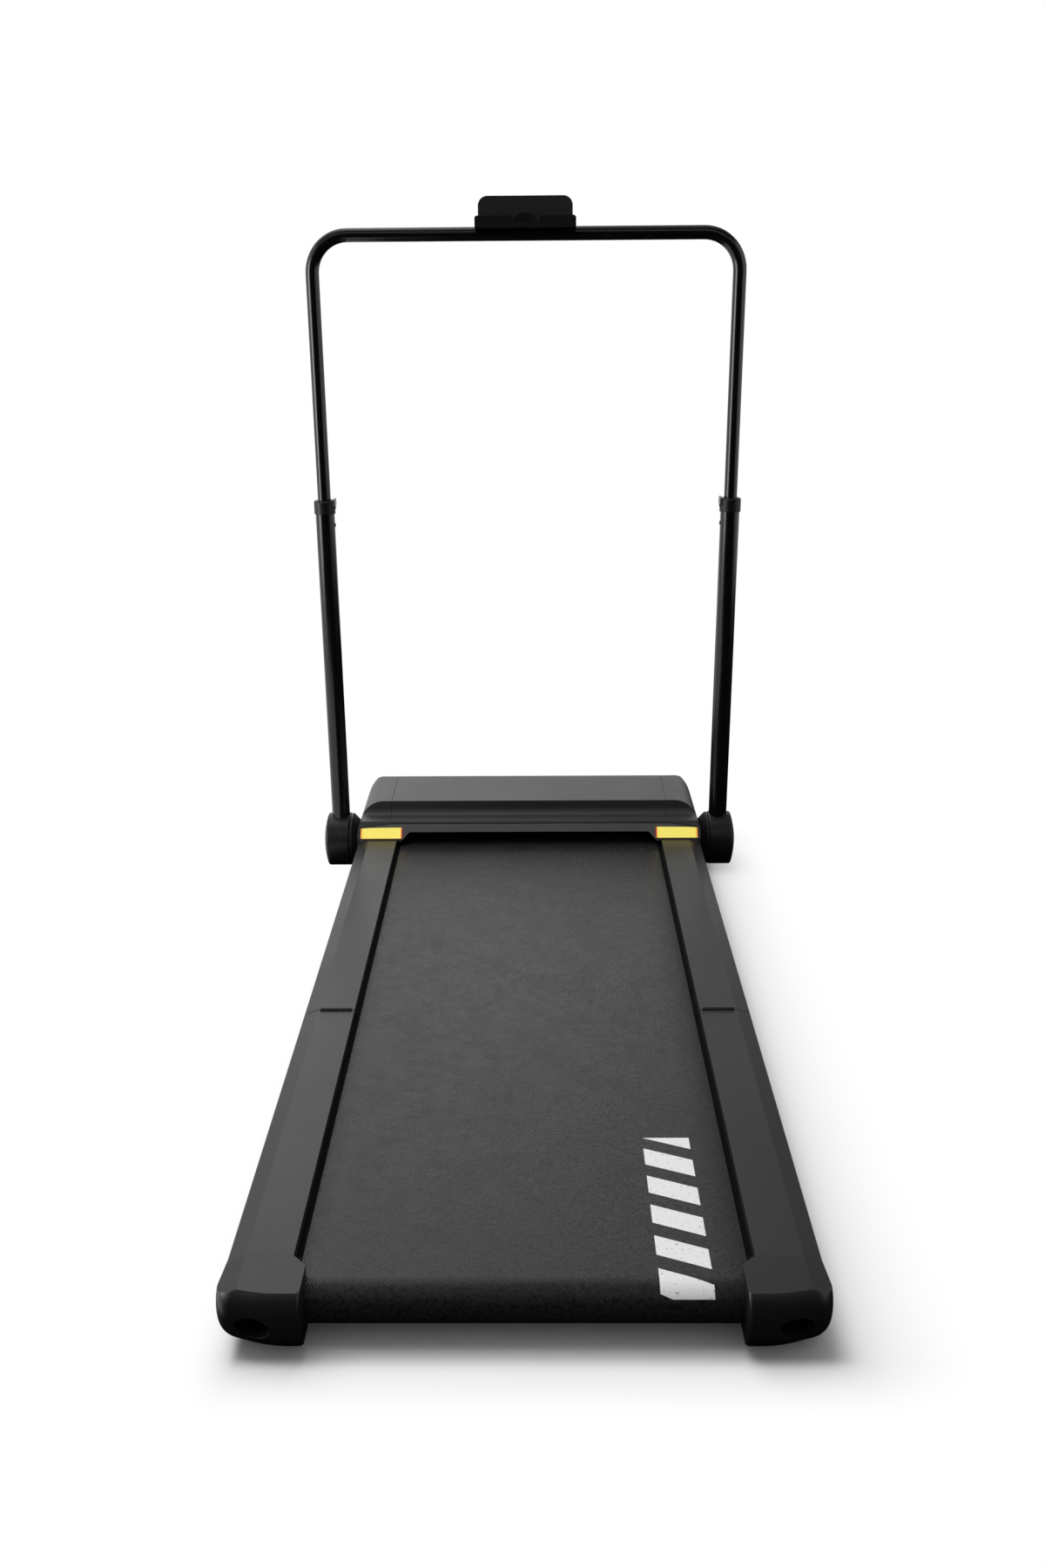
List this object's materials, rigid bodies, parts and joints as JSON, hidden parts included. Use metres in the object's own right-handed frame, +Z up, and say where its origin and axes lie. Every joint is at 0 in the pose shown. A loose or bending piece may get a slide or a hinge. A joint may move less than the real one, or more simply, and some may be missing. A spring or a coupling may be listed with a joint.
{
  "type": "folding walking treadmill",
  "caption": "Slim walking treadmill whose deck folds in half, with a fold-down telescoping hand rail, a phone holder, a low motor hood and transport wheels",
  "frame": {"origin": "On the floor, under the middle of the deck's length and width.", "axes": "+Y runs along the deck from the rear end to the motor hood, +X is the walker's right-hand side when facing the hood, +Z is up."},
  "size_m": [0.6538, 1.247, 0.998],
  "materials": {
    "frame_steel": "satin powder coat",
    "tube_paint": "satin black powder coat",
    "dark_steel": "black oxide",
    "bright_steel": "turned",
    "deck_board": "waxed laminated board",
    "rail_plastic": "fine moulded grain",
    "cap_plastic": "fine moulded grain",
    "hood_plastic": "fine moulded grain",
    "guard_plastic": "matte",
    "knuckle_plastic": "matte",
    "collar_plastic": "matte",
    "lever_plastic": "satin",
    "button_plastic": "gloss",
    "wheel_plastic": "matte",
    "belt_rubber": "fine diamond weave",
    "foot_rubber": "matte",
    "heat_sink": "extruded"
  },
  "bodies": {
    "front_deck": {"front_side_rail_left": "frame_steel", "front_side_rail_right": "frame_steel", "front_cross_tubes": "frame_steel", "front_deck_board": "deck_board", "front_rail_cover_left": "rail_plastic", "front_rail_cover_right": "rail_plastic", "front_hinge_leaves": "dark_steel", "hinge_pins": "bright_steel", "running_belt": "belt_rubber", "front_roller_axle": "bright_steel", "hood_cover": "hood_plastic", "belt_guard": "guard_plastic", "motor_tray": "frame_steel", "wheel_axles": "bright_steel", "motor_body": "dark_steel", "drive_belt": "foot_rubber", "controller_board": "heat_sink", "display_board": "guard_plastic", "power_panel": "guard_plastic", "power_inlet": "guard_plastic", "front_feet": "foot_rubber", "pivot_bracket_left": "knuckle_plastic", "pivot_bracket_right": "knuckle_plastic", "pivot_bolts": "bright_steel"},
    "rear_deck": {"rear_side_rail_left": "frame_steel", "rear_side_rail_right": "frame_steel", "rear_cross_tubes": "frame_steel", "rear_deck_board": "deck_board", "rear_rail_cover_left": "rail_plastic", "rear_rail_cover_right": "rail_plastic", "rear_hinge_leaves": "dark_steel", "rear_roller_axle": "bright_steel", "adjuster_bolts": "dark_steel", "rear_end_cap_left": "cap_plastic", "rear_end_cap_right": "cap_plastic", "rear_feet": "foot_rubber"},
    "front_roller": {"front_roller_tube": "bright_steel", "front_roller_bearings": "bright_steel", "driven_pulley": "guard_plastic"},
    "rear_roller": {"rear_roller_tube": "bright_steel", "rear_roller_bearings": "bright_steel"},
    "motor_rotor": {"motor_shaft": "bright_steel", "motor_fan": "guard_plastic", "motor_pulley": "bright_steel"},
    "uprights": {"knuckle_drum_left": "knuckle_plastic", "knuckle_drum_right": "knuckle_plastic", "knuckle_caps": "knuckle_plastic", "lower_tube_left": "tube_paint", "lower_tube_right": "tube_paint", "lock_collar_left": "collar_plastic", "lock_collar_right": "collar_plastic"},
    "hand_rail": {"handle_tube": "tube_paint", "glide_bushes": "collar_plastic", "phone_holder": "collar_plastic"},
    "lever_left": {"lock_lever_left": "lever_plastic"},
    "lever_right": {"lock_lever_right": "lever_plastic"},
    "wheel_left": {"transport_wheel_left": "wheel_plastic"},
    "wheel_right": {"transport_wheel_right": "wheel_plastic"},
    "rocker": {"switch_rocker": "button_plastic"},
    "breaker": {"breaker_button": "button_plastic"}
  },
  "joints": [
    {"name": "deck_fold", "type": "hinge", "parent": "front_deck", "child": "rear_deck", "pos_m": [0, -0.1115, 0.0705], "axis": [-1, 0, 0], "range_deg": [0, 179.5], "deforming": ["running_belt"]},
    {"name": "upright_fold", "type": "hinge", "parent": "front_deck", "child": "uprights", "pos_m": [0, 0.5015, 0.045], "axis": [1, 0, 0], "range_deg": [0, 76]},
    {"name": "rail_slide", "type": "slide", "parent": "uprights", "child": "hand_rail", "axis": [0, 0, -1], "range_m": [0, 0.3]},
    {"name": "lever_flip_left", "type": "hinge", "parent": "uprights", "child": "lever_left", "pos_m": [-0.2859, 0.5015, 0.5721], "axis": [0, 1, 0], "range_deg": [0, 90]},
    {"name": "lever_flip_right", "type": "hinge", "parent": "uprights", "child": "lever_right", "pos_m": [0.2859, 0.5015, 0.5721], "axis": [0, -1, 0], "range_deg": [0, 90]},
    {"name": "front_roller_turn", "type": "hinge", "parent": "front_deck", "child": "front_roller", "pos_m": [0, 0.4835, 0.0381], "axis": [1, 0, 0], "continuous": true},
    {"name": "rear_roller_turn", "type": "hinge", "parent": "rear_deck", "child": "rear_roller", "pos_m": [0, -0.5785, 0.0381], "axis": [1, 0, 0], "continuous": true},
    {"name": "motor_turn", "type": "hinge", "parent": "front_deck", "child": "motor_rotor", "pos_m": [0, 0.5655, 0.062], "axis": [1, 0, 0], "continuous": true},
    {"name": "wheel_turn_left", "type": "hinge", "parent": "front_deck", "child": "wheel_left", "pos_m": [-0.236, 0.6005, 0.023], "axis": [1, 0, 0], "continuous": true},
    {"name": "wheel_turn_right", "type": "hinge", "parent": "front_deck", "child": "wheel_right", "pos_m": [0.236, 0.6005, 0.023], "axis": [1, 0, 0], "continuous": true},
    {"name": "switch_rock", "type": "hinge", "parent": "front_deck", "child": "rocker", "pos_m": [-0.103, 0.615, 0.04], "axis": [-1, 0, 0], "range_deg": [0, 20]},
    {"name": "breaker_press", "type": "slide", "parent": "front_deck", "child": "breaker", "axis": [0, -1, 0], "range_m": [0, 0.003], "stiffness_N_per_m": 200, "springref_m": -0.001}
  ],
  "couplings": [
    {"joint": "rear_roller_turn", "follows": "front_roller_turn", "ratio": 1},
    {"joint": "motor_turn", "follows": "front_roller_turn", "ratio": 2}
  ]
}
